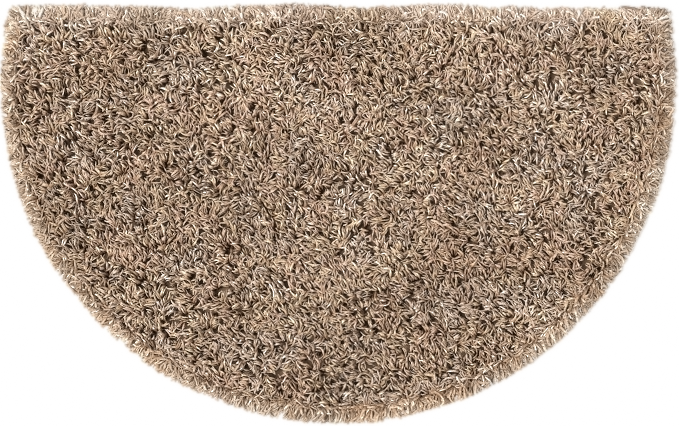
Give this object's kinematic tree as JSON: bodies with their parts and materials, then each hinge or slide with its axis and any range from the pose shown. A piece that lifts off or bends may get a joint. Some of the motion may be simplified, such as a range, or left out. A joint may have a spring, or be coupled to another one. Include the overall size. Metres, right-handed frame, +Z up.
{
  "type": "shag rug",
  "caption": "Half-round shag rug lying flat, long taupe yarn pile tufted through one backing cloth, with locks that fall over its rim to the floor.",
  "frame": {"origin": "on the floor under the rug's underside, halfway along its straight edge's length and halfway between that edge and the top of the arc", "axes": "+X along the straight edge, +Y towards the straight edge, +Z up out of the pile"},
  "size_m": [0.8012, 0.5031, 0.027],
  "materials": {
    "pile_yarn": "matt",
    "backing_cloth": "matt"
  },
  "bodies": {
    "root": {"shag_rug": "pile_yarn"}
  },
  "joints": []
}
